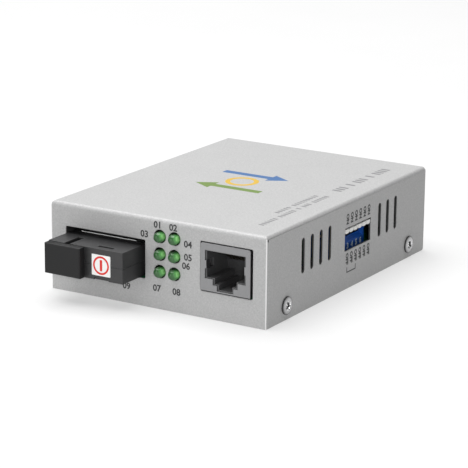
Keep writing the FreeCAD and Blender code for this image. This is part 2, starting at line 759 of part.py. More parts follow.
def shield_clip():
    """Thin spring plate over the module with a flared front edge and a strap down each side."""
    x0, x1 = MODULE_X0 + CLIP_INSET_LEFT, MODULE_X1 - CLIP_INSET_RIGHT
    y0, y1 = FRONT + CLIP_FRONT, FRONT + CLIP_BACK
    z0 = MODULE_Z1 + 0.02
    mid = z0 + CLIP_T / 2
    top = strip(
        [(y1, mid), (y0, mid), (y0 - CLIP_FLARE_OUT, mid + CLIP_FLARE_UP)], CLIP_T, x0, x1 - x0
    )
    s0, s1 = MODULE_X0 - FIT - CLIP_T, MODULE_X1 + FIT + CLIP_T
    ya, yb = FRONT + STRAP_FRONT, FRONT + STRAP_BACK
    over = box(s0, s1, ya, yb, z0, z0 + CLIP_T)
    legs = [box(x, x + CLIP_T, ya, yb, BOARD_TOP, z0 + CLIP_T) for x in (s0, s1 - CLIP_T)]
    return join([top, over] + legs)


def dust_cap():
    """Block with a hollow square plug that pushes into the port."""
    y0 = MODULE_Y0 - CAP_GAP - CAP_T
    x0, z0 = PORT_X - CAP_W / 2, PORT_Z - CAP_H / 2
    block = box(x0, x0 + CAP_W, y0, y0 + CAP_T, z0, z0 + CAP_H)
    front = [edge for edge in block.Edges if edge.BoundBox.YMax < y0 + 0.01]
    block = block.makeChamfer(CAP_EDGE, front)
    half_w = PORT_W / 2 - CAP_PLUG_CLEAR
    half_h = PORT_H / 2 - CAP_PLUG_CLEAR
    y1 = y0 + CAP_T
    plug = box(
        PORT_X - half_w, PORT_X + half_w, y1 - 0.5, y1 + CAP_PLUG_LEN, PORT_Z - half_h, PORT_Z + half_h
    )
    hollow = box(
        PORT_X - half_w + CAP_PLUG_WALL, PORT_X + half_w - CAP_PLUG_WALL, y1 - 0.6, y1 + CAP_PLUG_LEN + 1,
        PORT_Z - half_h + CAP_PLUG_WALL, PORT_Z + half_h - CAP_PLUG_WALL,
    )
    return join([block, plug]).cut(hollow)


def type_sticker():
    x0 = MODULE_X0 + STICKER_FROM_LEFT
    z0 = MODULE_Z0 + STICKER_FROM_BASE
    return plate_with_corners(
        x0, x0 + STICKER_W, MODULE_Y0 - STICKER_T, MODULE_Y0, z0, z0 + STICKER_H, 0.2, Y_AXIS
    )


# ---- network jack --------------------------------------------------------------------------------
def mouth_outline(shrink):
    """Stepped (x, z) outline of the jack's mouth, smaller by shrink all round."""
    half = [value - shrink for value in MOUTH_HALF]
    floor = [JACK_Z0 + value + shrink * 0.7 for value in MOUTH_Z]
    top = JACK_Z0 + MOUTH_TOP - shrink * 0.4
    right = [
        (half[0], top), (half[0], floor[0]), (half[1], floor[0]), (half[1], floor[1]),
        (half[2], floor[1]), (half[2], floor[2]),
    ]
    points = right + [(-x, z) for x, z in reversed(right)]
    return [(JACK_X + x, z) for x, z in points]


def jack_shield():
    """Folded tin box around the jack, with side springs and two solder legs."""
    x0, x1 = JACK_X - JACK_W / 2, JACK_X + JACK_W / 2
    upper = lambda point: point.z > JACK_Z1 - 1
    outer = rounded(box(x0, x1, JACK_Y0, JACK_Y1, JACK_Z0, JACK_Z1), JACK_EDGE, Y_AXIS, upper)
    hollow = box(
        x0 + SHIELD_T, x1 - SHIELD_T, JACK_Y0 + SHIELD_T, JACK_Y1 - SHIELD_T, JACK_Z0 - 1, JACK_Z1 - SHIELD_T
    )
    shell = outer.cut(rounded(hollow, JACK_EDGE - SHIELD_T, Y_AXIS, upper))
    shell = shell.cut(profile(mouth_outline(0), "y", JACK_Y0 - 1, 2))
    pieces = [shell]
    z0 = JACK_Z0 + SPRING_Z
    for side in (-1, 1):
        edge = JACK_X + side * MOUTH_HALF[0]
        tip = edge - side * SPRING_IN
        back = JACK_Y0 + SPRING_LEN
        outward = edge + side * 0.3
        root = edge + side * 0.1
        outline = [
            (root, JACK_Y0), (tip, JACK_Y0), (outward - side * SHIELD_T, back), (outward, back),
            (root, JACK_Y0 + SHIELD_T),
        ]
        pieces.append(profile(outline, "z", z0, SPRING_H))
        x = JACK_X + side * (JACK_W - SHIELD_T) / 2
        y = JACK_Y0 + JACK_LEG_Y
        pieces.append(box(
            x - SHIELD_T / 2, x + SHIELD_T / 2, y - JACK_LEG_W / 2, y + JACK_LEG_W / 2,
            BOARD_Z - PIN_BELOW, JACK_Z0 + 0.5,
        ))
    return join(pieces)


def contact_path():
    """(y, z) run of a contact: board, back of the housing, roof, then down into the mouth."""
    roof = JACK_Z1 - 1.1
    return [
        (CONTACT_Y, BOARD_Z - PIN_BELOW), (CONTACT_Y, roof), (JACK_Y0 + 2.2, roof),
        (JACK_Y0 + 9.0, JACK_Z0 + 7.4),
    ]


def jack_housing():
    gap = SHIELD_T + FIT
    body = box(
        JACK_X - JACK_W / 2 + gap, JACK_X + JACK_W / 2 - gap, JACK_Y0 + gap, JACK_Y1 - gap,
        JACK_Z0, JACK_Z1 - gap,
    )
    body = rounded(body, JACK_EDGE - SHIELD_T, Y_AXIS, lambda point: point.z > JACK_Z1 - 1)
    tools = [profile(mouth_outline(CAVITY_STEP), "y", JACK_Y0 - 1, CAVITY_DEPTH + 1)]
    for side in (-1, 1):
        wall = JACK_X + side * (MOUTH_HALF[0] - CAVITY_STEP)
        x0, x1 = sorted((wall - side * 0.5, wall + side * 0.95))
        z0 = JACK_Z0 + SPRING_Z
        tools.append(box(x0, x1, JACK_Y0 - 1, JACK_Y0 + SPRING_LEN + 0.6, z0 - 0.1, z0 + SPRING_H + 0.1))
    for x in contact_places():
        start = x - CONTACT_W / 2 - CONTACT_SLOT / 2
        tools.append(strip(contact_path(), CONTACT_T + CONTACT_SLOT, start, CONTACT_W + CONTACT_SLOT))
    return carve(body, tools)


def jack_contacts():
    return [strip(contact_path(), CONTACT_T, x - CONTACT_W / 2, CONTACT_W) for x in contact_places()]


# ---- lamps ---------------------------------------------------------------------------------------
def lamp(x, z):
    """Round lamp along Y with a domed tip and a flange at its back."""
    y_dome = LED_TIP + LED_R
    dome = Part.makeSphere(LED_R, V(x, y_dome, z))
    barrel = rod(LED_R, LED_BARREL, (x, y_dome, z), Y_AXIS)
    flange = rod(LED_FLANGE_R, LED_FLANGE_T, (x, y_dome + LED_BARREL, z), Y_AXIS)
    return join([dome, barrel, flange])


def lead_places():
    """(x, y) where the lamp leads go through the board, deeper rows further back."""
    for row in range(LED_ROWS):
        for column in range(LED_COLS):
            x = LEFT + LED_X + column * LED_COL_PITCH
            y = HOLDER_Y0 + HOLDER_T + 3.6 - row * 1.1
            yield x - LEAD_GAP, y
            yield x + LEAD_GAP, y


def led_holder():
    """Block that carries the lamps' flanges and guides their leads."""
    places = list(lamp_places())
    xs = [x for x, _ in places]
    zs = [z for _, z in places]
    block = box(
        min(xs) - HOLDER_EDGE, max(xs) + HOLDER_EDGE, HOLDER_Y0, HOLDER_Y0 + HOLDER_T,
        BOARD_TOP, max(zs) + HOLDER_EDGE,
    )
    tools = []
    for x, z in places:
        tools.append(rod(LED_FLANGE_R + FIT, HOLDER_SEAT + 1, (x, HOLDER_Y0 - 1, z - LED_DROP), Y_AXIS))
        for side in (-1, 1):
            xl = x + side * LEAD_GAP
            zl = z - LED_DROP
            tools.append(box(xl - 0.4, xl + 0.4, HOLDER_Y0, HOLDER_Y0 + HOLDER_T + 1, zl - 0.4, zl + 0.4))
    return carve(block, tools)


def led_leads():
    leads = []
    spots = iter(lead_places())
    for x, z in lamp_places():
        for _ in (0, 1):
            lead_x, lead_y = next(spots)
            start = LED_BACK + PIN / 2 + 0.02
            path = [(start, z - LED_DROP), (lead_y, z - LED_DROP), (lead_y, BOARD_Z - PIN_BELOW)]
            leads.append(strip(path, PIN, lead_x - PIN / 2, PIN))
    return leads


# ---- switch block --------------------------------------------------------------------------------
def dip_housing():
    y0, y1 = DIP_Y - DIP_LEN / 2, DIP_Y + DIP_LEN / 2
    body = rounded(box(DIP_X0, DIP_X1, y0, y1, DIP_Z0, DIP_Z0 + DIP_H), 0.3, Z_AXIS)
    ridge = DIP_Z0 + RIDGE_Z
    channel = profile(
        [(DIP_X1 + 1, ridge - 0.25), (DIP_X1, ridge), (DIP_X1 - CHANNEL_DEEP, ridge + 0.9),
         (DIP_X1 - CHANNEL_DEEP, DIP_Z0 + CHANNEL_TOP), (DIP_X1 + 1, DIP_Z0 + CHANNEL_TOP)],
        "y", y0 + CHANNEL_CHEEK, DIP_LEN - 2 * CHANNEL_CHEEK,
    )
    tools = [channel]
    hub = LEVER_HUB_R + FIT
    for y in way_places():
        slot = profile(
            [(PIVOT_X, PIVOT_Z - hub), (DIP_X1 - CHANNEL_DEEP + 0.2, ridge + 1.1),
             (DIP_X1 - CHANNEL_DEEP + 0.2, DIP_Z0 + CHANNEL_TOP), (PIVOT_X, DIP_Z0 + CHANNEL_TOP)],
            "y", y - LEVER_SLOT_W / 2, LEVER_SLOT_W,
        )
        tools.append(slot)
        tools.append(rod(hub, LEVER_SLOT_W, (PIVOT_X, y - LEVER_SLOT_W / 2, PIVOT_Z), Y_AXIS))
        tools += [
            box(x - PIN / 2 - FIT, x + PIN / 2 + FIT, y - PIN / 2 - FIT, y + PIN / 2 + FIT,
                DIP_Z0 - 1, DIP_Z0 + 1.5)
            for x in DIP_ROWS_X
        ]
    tools.append(rod(AXLE_R + 0.01, DIP_LEN + 2, (PIVOT_X, y0 - 1, PIVOT_Z), Y_AXIS))
    return carve(body, tools)


def dip_axle():
    return rod(AXLE_R, DIP_LEN - 0.4, (PIVOT_X, DIP_Y - DIP_LEN / 2 + 0.2, PIVOT_Z), Y_AXIS)


def dip_lever(y):
    """Rocking lever in its raised position: hub, arm and a pad with rounded lower corners."""
    pad_x1 = RIGHT - LEVER_TIP
    pad_x0 = pad_x1 - LEVER_PAD_LEN
    z0 = BOARD_TOP + LEVER_PAD_Z
    pad = box(pad_x0, pad_x1, y - LEVER_W / 2, y + LEVER_W / 2, z0, z0 + LEVER_PAD_H)
    pad = rounded(pad, LEVER_ROUND, X_AXIS, lambda point: point.z < z0 + 0.1)
    pad = rounded(pad, 0.25, X_AXIS, lambda point: point.z > z0 + LEVER_PAD_H - 0.1)
    mid = z0 + LEVER_PAD_H / 2
    half = LEVER_ARM_T / 2
    arm = profile(
        [(PIVOT_X, PIVOT_Z - half - 0.1), (pad_x0 + 0.3, mid - half), (pad_x0 + 0.3, mid + half),
         (PIVOT_X, PIVOT_Z + half + 0.1)],
        "y", y - LEVER_ARM_W / 2, LEVER_ARM_W,
    )
    hub = rod(LEVER_HUB_R, LEVER_W, (PIVOT_X, y - LEVER_W / 2, PIVOT_Z), Y_AXIS)
    bore = rod(AXLE_R + FIT, LEVER_W + 2, (PIVOT_X, y - LEVER_W / 2 - 1, PIVOT_Z), Y_AXIS)
    return join([pad, arm, hub]).cut(bore)


def dip_pins():
    return [pin_down(x, y, DIP_Z0 + 1.4) for x in DIP_ROWS_X for y in way_places()]


# ---- power inlet ---------------------------------------------------------------------------------
def terminal_places():
    """(x, y) of the inlet's three solder terminals."""
    return (
        (POWER_X, POWER_Y0 - 0.35),
        (POWER_X, POWER_Y0 + 6.0),
        (POWER_X - POWER_W / 2 - 0.35, POWER_Y0 + 3.0),
    )


def power_jack_housing():
    z0 = BOARD_TOP
    body = box(POWER_X - POWER_W / 2, POWER_X + POWER_W / 2, POWER_Y0, POWER_Y1, z0, z0 + POWER_H)
    body = rounded(body, 1.2, Y_AXIS, lambda point: point.z > z0 + POWER_H - 0.1)
    step = box(
        POWER_X - POWER_W, POWER_X + POWER_W, POWER_Y0 - 1, POWER_Y1 - 3.2, z0 + POWER_AXIS_Z + 3.0,
        z0 + POWER_H + 1,
    )
    round_back = rod(POWER_W / 2 - 0.4, POWER_LEN - 3, (POWER_X, POWER_Y0, POWER_Z), Y_AXIS)
    collar = rod(POWER_COLLAR_R, POWER_COLLAR_LEN + 0.5, (POWER_X, POWER_Y1 - 0.5, POWER_Z), Y_AXIS)
    mouth = POWER_Y1 + POWER_COLLAR_LEN
    bore = rod(POWER_BORE_R, POWER_BORE_DEEP + 1, (POWER_X, mouth - POWER_BORE_DEEP, POWER_Z), Y_AXIS)
    pin_seat = rod(POWER_PIN_SHOULDER_R + THREAD_GAP, POWER_LEN, (POWER_X, POWER_Y0 - 1, POWER_Z), Y_AXIS)
    foot = box(POWER_X - 0.6, POWER_X + 0.6, POWER_Y0 + 5.4, POWER_Y0 + 6.6, z0 - 1, POWER_Z - 2)
    return carve(join([body.cut(step), round_back, collar]), [bore, pin_seat, foot])


def power_jack_pin():
    """Round-tipped pin with a thicker shoulder that is held in the housing."""
    y1 = POWER_Y1 + POWER_COLLAR_LEN - POWER_PIN_SHORT
    bore_end = POWER_Y1 + POWER_COLLAR_LEN - POWER_BORE_DEEP
    shoulder = rod(POWER_PIN_SHOULDER_R, bore_end - POWER_Y0, (POWER_X, POWER_Y0, POWER_Z), Y_AXIS)
    shaft = rod(POWER_PIN_R, y1 - bore_end, (POWER_X, bore_end, POWER_Z), Y_AXIS)
    tip = [edge for edge in shaft.Edges if edge.Closed and edge.BoundBox.YMin > y1 - 0.01]
    return join([shoulder, shaft.makeFillet(POWER_PIN_TIP, tip)])


def power_jack_terminals():
    """Rear blade on the pin, spring blade under the bore and side blade."""
    (x0, y0), (x1, y1), (x2, y2) = terminal_places()
    low = BOARD_Z - PIN_BELOW
    rear = box(x0 - 0.3, x0 + 0.3, y0 - 0.15, y0 + 0.15, low, BOARD_TOP)
    rear = join([rear, box(x0 - 1.4, x0 + 1.4, y0 - 0.15, y0 + 0.15, BOARD_TOP, POWER_Z + 1.4)])
    rear = rear.cut(rod(POWER_PIN_R - 0.4, 2, (x0, y0 - 1, POWER_Z), Y_AXIS))
    spring = box(x1 - 0.3, x1 + 0.3, y1 - 0.15, y1 + 0.15, low, POWER_Z - POWER_BORE_R + 0.35)
    side = box(x2 - 0.15, x2 + 0.15, y2 - 0.3, y2 + 0.3, low, BOARD_TOP)
    side = join([side, box(x2 - 0.15, x2 + 0.15, y2 - 1.4, y2 + 1.4, BOARD_TOP, BOARD_TOP + 5)])
    return [rear, spring, side]


# ---- parts on the board --------------------------------------------------------------------------
def gull_lead(x, y, angle, height, out):
    """Gull-wing lead that leaves the origin side along +Y, then turned about Z and moved."""
    half = LEAD_T / 2
    knee, ankle = out * 0.4, out * 0.55
    over = [(0, height + half), (knee + half, height + half), (ankle + half, LEAD_T), (out, LEAD_T)]
    under = [(out, 0), (ankle - half, 0), (knee - half, height - half), (0, height - half)]
    lead = profile(over + under, "x", -LEAD_W / 2, LEAD_W)
    lead.rotate(V(0, 0, 0), Z_AXIS, angle)
    lead.translate(V(x, y, BOARD_TOP + 0.01))
    return lead


def converter_chip():
    x, y = CHIP_PLACE
    half = CHIP_SIDE / 2
    z0 = BOARD_TOP + CHIP_STAND
    body = box(x - half, x + half, y - half, y + half, z0, z0 + CHIP_T)
    body = body.makeChamfer(0.25, [e for e in body.Edges if e.BoundBox.ZMin > z0 + CHIP_T - 0.01])
    dimple = rod(0.8, 0.5, (x - half + 2, y - half + 2, z0 + CHIP_T - 0.15), Z_AXIS)
    return body.cut(dimple)


def converter_leads():
    x, y = CHIP_PLACE
    reach = CHIP_SIDE / 2 + 0.02
    leads = []
    for number in range(CHIP_LEADS):
        along = (number - (CHIP_LEADS - 1) / 2) * CHIP_PITCH
        leads.append(gull_lead(x - along, y + reach, 0, 0.7, LEAD_OUT))
        leads.append(gull_lead(x - reach, y - along, 90, 0.7, LEAD_OUT))
        leads.append(gull_lead(x + along, y - reach, 180, 0.7, LEAD_OUT))
        leads.append(gull_lead(x + reach, y + along, 270, 0.7, LEAD_OUT))
    return leads


def memory_chip():
    """Small eight-lead chip, leads moulded in."""
    x, y = MEMORY_PLACE
    z0 = BOARD_TOP + CHIP_STAND
    body = box(x - MEMORY_LEN / 2, x + MEMORY_LEN / 2, y - MEMORY_W / 2, y + MEMORY_W / 2, z0, z0 + MEMORY_T)
    leads = []
    for number in range(4):
        along = (number - 1.5) * 1.27
        leads.append(gull_lead(x + along, y + MEMORY_W / 2 - 0.05, 0, 0.8, LEAD_OUT))
        leads.append(gull_lead(x + along, y - MEMORY_W / 2 + 0.05, 180, 0.8, LEAD_OUT))
    return join([body] + leads)


def line_transformer():
    """Moulded block that holds the isolation coils, with a row of leads each side."""
    x, y = COIL_PLACE
    z0 = BOARD_TOP + CHIP_STAND
    body = box(x - COIL_W / 2, x + COIL_W / 2, y - COIL_LEN / 2, y + COIL_LEN / 2, z0, z0 + COIL_H)
    body = body.makeChamfer(0.4, [e for e in body.Edges if e.BoundBox.ZMin > z0 + COIL_H - 0.01])
    leads = []
    for number in range(COIL_LEADS):
        along = (number - (COIL_LEADS - 1) / 2) * COIL_PITCH
        leads.append(gull_lead(x + along, y + COIL_LEN / 2 - 0.05, 0, 1.5, 1.4))
        leads.append(gull_lead(x + along, y - COIL_LEN / 2 + 0.05, 180, 1.5, 1.4))
    return join([body] + leads)


def crystal_can():
    x, y = CRYSTAL_PLACE
    half = CRYSTAL_W / 2 - 0.3
    base = box(x - CRYSTAL_LEN / 2, x + CRYSTAL_LEN / 2, y - CRYSTAL_W / 2, y + CRYSTAL_W / 2,
               BOARD_TOP, BOARD_TOP + 0.4)
    base = rounded(base, CRYSTAL_W / 2 - 0.01, Z_AXIS)
    can = box(x - CRYSTAL_LEN / 2 + 0.3, x + CRYSTAL_LEN / 2 - 0.3, y - half, y + half,
              BOARD_TOP, BOARD_TOP + CRYSTAL_H)
    can = rounded(can, half - 0.01, Z_AXIS)
    top = [e for e in can.Edges if e.BoundBox.ZMin > BOARD_TOP + CRYSTAL_H - 0.01]
    return join([base, can.makeFillet(0.4, top)])


def filter_capacitor(x, y):
    """Aluminium can on a square base."""
    side = CAN_CAP_R + 0.15
    base = box(x - side, x + side, y - side, y + side, BOARD_TOP, BOARD_TOP + CAN_BASE_T)
    can = rod(CAN_CAP_R, CAN_CAP_H, (x, y, BOARD_TOP), Z_AXIS)
    top = [e for e in can.Edges if e.Closed and e.BoundBox.ZMin > BOARD_TOP + 1]
    can = can.makeFillet(0.5, top)
    groove = rod(CAN_CAP_R + 1, 0.5, (x, y, BOARD_TOP + 1.6), Z_AXIS)
    groove = groove.cut(rod(CAN_CAP_R - 0.25, 2, (x, y, BOARD_TOP + 1), Z_AXIS))
    return join([base, can]).cut(groove)


def power_inductor():
    """Round wound core on a square base."""
    x, y = INDUCTOR_PLACE
    half = INDUCTOR_SIDE / 2
    base = box(x - half, x + half, y - half, y + half, BOARD_TOP, BOARD_TOP + 1.2)
    base = rounded(base, 1.5, Z_AXIS)
    drum = rod(INDUCTOR_R, INDUCTOR_H - 1.2, (x, y, BOARD_TOP + 1.2), Z_AXIS)
    waist = rod(INDUCTOR_R + 1, 2.6, (x, y, BOARD_TOP + 2.4), Z_AXIS)
    waist = waist.cut(rod(INDUCTOR_R - 0.5, 4, (x, y, BOARD_TOP + 2), Z_AXIS))
    return join([base, drum]).cut(waist)


def regulator():
    """Power package: moulded body on its metal tab, with two leads."""
    x, y = REGULATOR_PLACE
    z0 = BOARD_TOP
    half = REGULATOR_W / 2
    tab = box(x - half + 0.6, x + half - 0.6, y, y + REGULATOR_LEN / 2 + 2.4, z0, z0 + REGULATOR_TAB)
    body = box(x - half, x + half, y - REGULATOR_LEN / 2, y + REGULATOR_LEN / 2,
               z0 + 0.05, z0 + REGULATOR_T)
    leads = [
        box(x + side * 2.28 - 0.4, x + side * 2.28 + 0.4, y - REGULATOR_LEN / 2 - 2.4,
            y - REGULATOR_LEN / 2 + 0.5, z0, z0 + REGULATOR_TAB)
        for side in (-1, 1)
    ]
    return join([tab, body] + leads)


def chip_part(x, y, lengthways):
    half_l, half_w = CHIP_PART_LEN / 2, CHIP_PART_W / 2
    if lengthways:
        return box(x - half_w, x + half_w, y - half_l, y + half_l, BOARD_TOP, BOARD_TOP + CHIP_PART_T)
    return box(x - half_l, x + half_l, y - half_w, y + half_w, BOARD_TOP, BOARD_TOP + CHIP_PART_T)


# ---- places on the board, measured from the case's faces -----------------------------------------
CHIP_PLACE = (LEFT + 43.0, FRONT + 42.0)
MEMORY_PLACE = (LEFT + 26.0, FRONT + 44.0)
COIL_PLACE = (JACK_X - 4.0, JACK_Y1 + 5.8)
CRYSTAL_PLACE = (LEFT + 43.0, FRONT + 57.0)
CAPACITOR_PLACES = (
    (LEFT + 18.0, FRONT + 56.0),
    (LEFT + 26.0, FRONT + 56.0),
    (LEFT + 29.8, REAR - 8.5),
)
INDUCTOR_PLACE = (LEFT + 40.0, REAR - 12.5)
REGULATOR_PLACE = (LEFT + 22.0, REAR - 12.0)


def chip_resistor_places():
    """Rows beside the switch block, behind the chip and by the jack."""
    for number in range(4):
        yield DIP_X1 - 6.8 + number, DIP_Y - DIP_LEN / 2 - 3.0 - number * 1.9, False
    for number in range(5):
        yield CHIP_PLACE[0] - 11.0, CHIP_PLACE[1] - 6.0 + number * 2.6, False
    for number in range(4):
        yield CHIP_PLACE[0] - 4.5 + number * 3.0, CHIP_PLACE[1] - 11.5, True


def chip_capacitor_places():
    for number in range(3):
        yield DIP_X0 - 1.6, DIP_Y + (number - 1) * 2.6, False
    for number in range(4):
        yield CHIP_PLACE[0] + 10.6, CHIP_PLACE[1] - 5.0 + number * 3.0, False
    for number in range(3):
        yield CRYSTAL_PLACE[0] - 4.0 + number * 4.0, CRYSTAL_PLACE[1] - 3.6, True


# ---- build ---------------------------------------------------------------------------------------
def main():
    os.makedirs("parts", exist_ok=True)
    save("case_cover", case_cover())
    save("case_base", case_base())
    save("cover_screws", *cover_screws())
    save("standoffs", *[standoff(x, y) for x, y in STANDOFFS])
    save("board_screws", *[board_screw(x, y) for x, y in STANDOFFS])
    save("circuit_board", circuit_board())

    save("transceiver_upper_shell", transceiver_upper_shell())
    save("transceiver_lower_shell", transceiver_lower_shell())
    save("transceiver_board", transceiver_board())
    save("transceiver_pins", *transceiver_pins())
    save("port_insert", port_insert())
    save("ferrule_sleeve", ferrule_sleeve())
    save("optical_barrel", optical_barrel())
    save("shield_clip", shield_clip())
    save("dust_cap", dust_cap())
    save("type_sticker", type_sticker())

    save("jack_shield", jack_shield())
    save("jack_housing", jack_housing())
    save("jack_contacts", *jack_contacts())

    for number, (x, z) in enumerate(lamp_places(), 1):
        save("led_%d" % number, lamp(x, z - LED_DROP))
    save("led_holder", led_holder())
    save("led_leads", *led_leads())

    save("dip_housing", dip_housing())
    save("dip_axle", dip_axle())
    save("dip_pins", *dip_pins())
    for number, y in enumerate(way_places(), 1):
        save("dip_lever_%d" % number, dip_lever(y))

    save("power_jack_housing", power_jack_housing())
    save("power_jack_pin", power_jack_pin())
    save("power_jack_terminals", *power_jack_terminals())

    save("converter_chip", converter_chip())
    save("converter_leads", *converter_leads())
    save("memory_chip", memory_chip())
    save("line_transformer", line_transformer())
    save("crystal_can", crystal_can())
    save("filter_capacitors", *[filter_capacitor(x, y) for x, y in CAPACITOR_PLACES])
    save("power_inductor", power_inductor())
    save("regulator", regulator())
    save("chip_resistors", *[chip_part(*place) for place in chip_resistor_places()])
    save("chip_capacitors", *[chip_part(*place) for place in chip_capacitor_places()])


main()
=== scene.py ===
"""Fibre media converter: finishes, printed marks, lights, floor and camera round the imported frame.

Metres. X runs along the front panel, Y to the back and Z up, from the middle of the case's foot.
"""
import math

import bmesh
import bpy
from mathutils import Matrix, Vector

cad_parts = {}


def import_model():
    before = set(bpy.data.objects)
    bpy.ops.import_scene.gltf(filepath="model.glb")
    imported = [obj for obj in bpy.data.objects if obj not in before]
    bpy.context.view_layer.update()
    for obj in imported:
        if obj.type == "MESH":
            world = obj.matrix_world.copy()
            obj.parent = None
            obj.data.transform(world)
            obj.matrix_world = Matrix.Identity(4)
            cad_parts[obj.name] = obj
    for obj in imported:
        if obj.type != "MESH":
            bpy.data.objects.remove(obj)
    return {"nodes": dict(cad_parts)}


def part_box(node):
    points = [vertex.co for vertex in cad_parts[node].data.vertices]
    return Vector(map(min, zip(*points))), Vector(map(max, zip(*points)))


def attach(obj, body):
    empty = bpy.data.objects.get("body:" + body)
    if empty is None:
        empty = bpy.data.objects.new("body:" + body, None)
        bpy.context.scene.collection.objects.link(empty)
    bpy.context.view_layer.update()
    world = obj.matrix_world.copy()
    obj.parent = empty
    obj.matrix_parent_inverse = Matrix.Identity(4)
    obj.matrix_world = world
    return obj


MM = 0.001

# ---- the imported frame, and where the case's outer faces are -------------------------------------
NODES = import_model()["nodes"]
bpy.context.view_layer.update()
COVER_LOW, COVER_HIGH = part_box("case_cover")
LEFT, FRONT = COVER_LOW.x, COVER_LOW.y
RIGHT, TOP = COVER_HIGH.x, COVER_HIGH.z
HALF_W = (RIGHT - LEFT) / 2
BASE_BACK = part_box("case_base")[1].y
CASE_BODY = "case"

# ---- sizes of the object that the finishes and marks follow -------------------------------------
BEND = 1.3 * MM                 # outer radius of the sheet's bends
PAINTED_DEPTH = 0.2 * MM        # deeper than this below an outer face, the sheet is bare zinc, painted near black as shade
HIGHLIGHT_WIDTH = 0.26 * MM          # width of the painted highlight on both sides of the cover's upright front corners
LAMPS = 6
LAMP_RADIUS = 1.5 * MM
WAYS = 6
WAY_PITCH = 2.54 * MM

# ---- edges --------------------------------------------------------------------------------------
DOUBLE_POINT = 0.0005 * MM      # points nearer than this are one point before the rounding
SLIVER = 0.002 * MM             # and this after it
FLAT_ANGLE = math.radians(0.4)  # faces that meet at less are one face
SHARP_ANGLE = math.radians(35)  # edges that turn more are rounded
EDGE_SEGMENTS = 2
CLAMPED = ("case_base", "regulator")    # a full bevel would throw their short edges out of shape

# ---- printed marks ------------------------------------------------------------------------------
INK = 0.012 * MM                # thickness of a mark
PRINT_GAP = 0.0001 * MM         # between the front panel and the lamps' figures
RING_STEPS = 48
ARROW_FLARE = 2.6               # half width of an arrow's head over that of its shaft
BAR_SHARE = 0.55                # of a row's pitch that each bar takes


# ---- materials: sockets that take arithmetic, and one maker for every other node ----------------
class Socket:
    """Output of a shader node; arithmetic on it adds Math nodes."""

    def __init__(self, finish, end):
        self.finish = finish
        self.end = end

    def __add__(self, other):
        return self.finish.maths("ADD", self, other)

    def __sub__(self, other):
        return self.finish.maths("SUBTRACT", self, other)

    def __rsub__(self, other):
        return self.finish.maths("SUBTRACT", other, self)

    def __mul__(self, other):
        return self.finish.maths("MULTIPLY", self, other)

    def __truediv__(self, other):
        return self.finish.maths("DIVIDE", self, other)

    def __pow__(self, other):
        return self.finish.maths("POWER", self, other)

    def __lt__(self, other):
        return self.finish.maths("LESS_THAN", self, other)

    def __gt__(self, other):
        return self.finish.maths("GREATER_THAN", self, other)

    __radd__ = __add__
    __rmul__ = __mul__

    def spread(self, low, high):
        """A 0 to 1 pattern moved to run from low to high."""
        return self * (high - low) + low


class Finish:
    """One material: constants go straight on the shader, patterns are linked by surface()."""

    def __init__(self, name, **constants):
        self.material = bpy.data.materials.new(name)
        self.material.use_nodes = True
        self.tree = self.material.node_tree
        self.shader = self.tree.nodes["Principled BSDF"]
        for word, value in constants.items():
            socket = word.replace("_", " ").title().replace("Ior", "IOR")
            self.shader.inputs[socket].default_value = value
        self.spot = self.node("ShaderNodeTexCoord", out="Object")

    def node(self, kind, settings=None, inputs=None, out=0):
        """Any node: its settings first, then the values or links of its sockets."""
        node = self.tree.nodes.new(kind)
        for key, value in (settings or {}).items():
            if key == "stops":
                self.set_stops(node.color_ramp, value)
            else:
                setattr(node, key, value)
        for key, value in (inputs or {}).items():
            self.feed(node.inputs[key], value)
        return Socket(self, node.outputs[out])

    def set_stops(self, ramp, stops):
        while len(ramp.elements) < len(stops):
            ramp.elements.new(0.5)
        for element, (place, color) in zip(ramp.elements, stops):
            element.position = place
            element.color = (*color, 1)

    def feed(self, socket, value):
        if isinstance(value, Socket):
            self.tree.links.new(value.end, socket)
        else:
            socket.default_value = value

    def maths(self, operation, *values):
        return self.node("ShaderNodeMath", {"operation": operation}, dict(enumerate(values)))

    def axis(self, name):
        """Where a point is along X, Y or Z."""
        return self.node("ShaderNodeSeparateXYZ", inputs={"Vector": self.spot}, out=name)

    def noise(self, size, detail=2.0, rough=0.5, stretch=(1, 1, 1)):
        """Cloudy pattern from 0 to 1 whose patches are about size metres across."""
        place = self.node("ShaderNodeMapping", inputs={"Vector": self.spot, "Scale": stretch})
        return self.node("ShaderNodeTexNoise", inputs={
            "Vector": place, "Scale": 1 / size, "Detail": detail, "Roughness": rough,
        })

    def cells(self, size):
        """Cells about size metres across, each with its own random number from 0 to 1."""
        colors = self.node(
            "ShaderNodeTexVoronoi", inputs={"Vector": self.spot, "Scale": 1 / size}, out="Color"
        )
        return self.node("ShaderNodeSeparateColor", inputs={"Color": colors}, out="Red")

    def mix(self, factor, low, high):
        """Blend of two colours, by the colour sockets of a Mix node."""
        low, high = ((*end, 1) if isinstance(end, tuple) else end for end in (low, high))
        return self.node("ShaderNodeMix", {"data_type": "RGBA"}, {0: factor, 6: low, 7: high}, 2)

    def ramp(self, value, *stops):
        """Colour for a value, from stops of a place and a colour."""
        return self.node("ShaderNodeValToRGB", {"stops": stops}, {"Fac": value})

    def surface(self, color, roughness, metallic=None, relief=None, depth=0.0):
        """Links patterns to the shader; relief is a height pattern that is depth metres deep."""
        patterns = {"Base Color": color, "Roughness": roughness, "Metallic": metallic}
        for socket, pattern in patterns.items():
            if pattern is not None:
                self.feed(self.shader.inputs[socket], pattern)
        if relief is not None:
            bump = self.node(
                "ShaderNodeBump", inputs={"Height": relief, "Strength": 1.0, "Distance": depth},
                out="Normal",
            )
            self.feed(self.shader.inputs["Normal"], bump)
        return self.material


